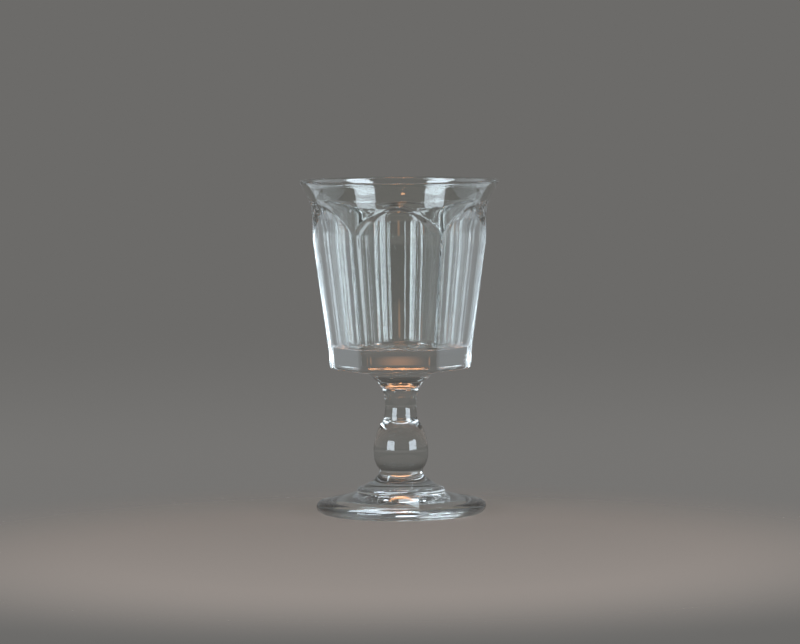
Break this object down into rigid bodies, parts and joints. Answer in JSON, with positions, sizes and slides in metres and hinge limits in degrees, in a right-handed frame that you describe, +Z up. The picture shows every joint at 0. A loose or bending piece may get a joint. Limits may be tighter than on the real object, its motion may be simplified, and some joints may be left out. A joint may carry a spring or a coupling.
{
  "type": "pressed glass goblet",
  "caption": "Clear pressed-glass goblet: flared panelled bowl with arched tops on a ringed collar, waisted stem, ball knop and domed foot.",
  "frame": {"origin": "centre of the foot's underside, on the surface that the goblet stands on", "axes": "+Z up along the stem's axis; one of the bowl's panels faces -Y"},
  "size_m": [0.089, 0.089, 0.15],
  "materials": {
    "clear_glass": "clear fire-polished pressed glass"
  },
  "bodies": {
    "root": {"foot": "clear_glass", "knop": "clear_glass", "stem": "clear_glass", "collar": "clear_glass", "bowl": "clear_glass"}
  },
  "joints": []
}
